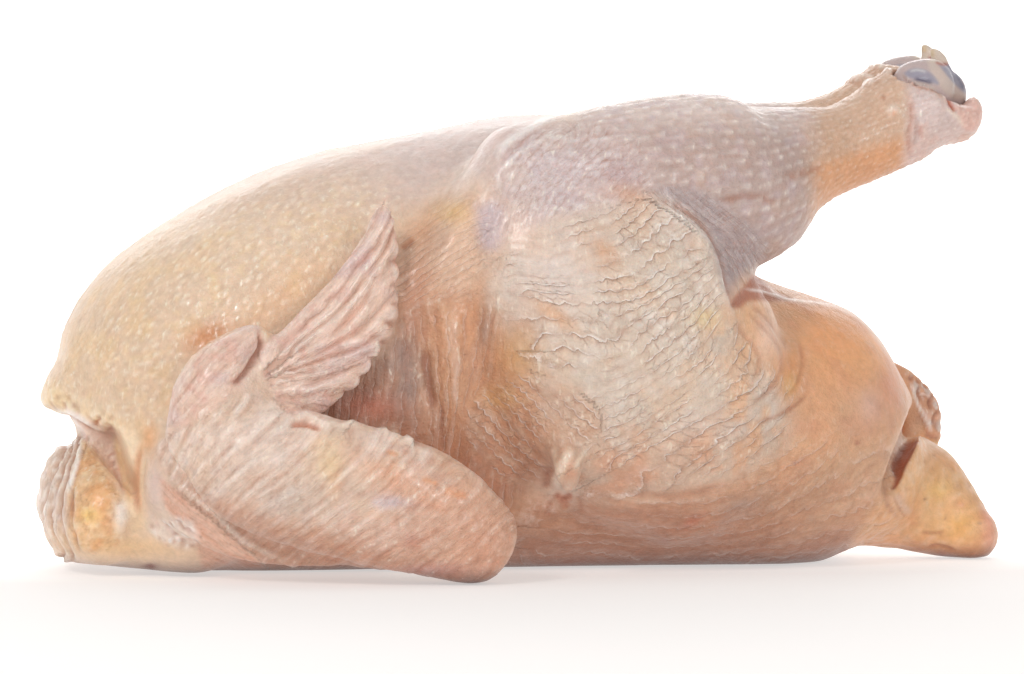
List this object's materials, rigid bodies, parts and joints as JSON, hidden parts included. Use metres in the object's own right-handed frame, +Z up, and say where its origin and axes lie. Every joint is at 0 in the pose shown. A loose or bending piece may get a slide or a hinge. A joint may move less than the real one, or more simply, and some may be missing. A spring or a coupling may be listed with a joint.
{
  "type": "whole raw chicken",
  "caption": "Whole raw dressed chicken lying on its back, breast up, with folded wings, legs stretched to the rear and cut at the hock, and the tail left on.",
  "frame": {"origin": "on the surface that the bird rests on, under the middle of the back", "axes": "+X towards the tail and hocks, -Y towards the bird's right side, +Z up through the breast"},
  "size_m": [0.2917, 0.1923, 0.1578],
  "materials": {
    "raw_skin": "moist raw poultry skin, cream to pink with yellow fat showing through",
    "cartilage": "wet blue-grey joint cartilage over pink bone"
  },
  "bodies": {
    "root": {"chicken": "raw_skin", "right_shin_bone": "cartilage", "left_shin_bone": "cartilage"}
  },
  "joints": []
}
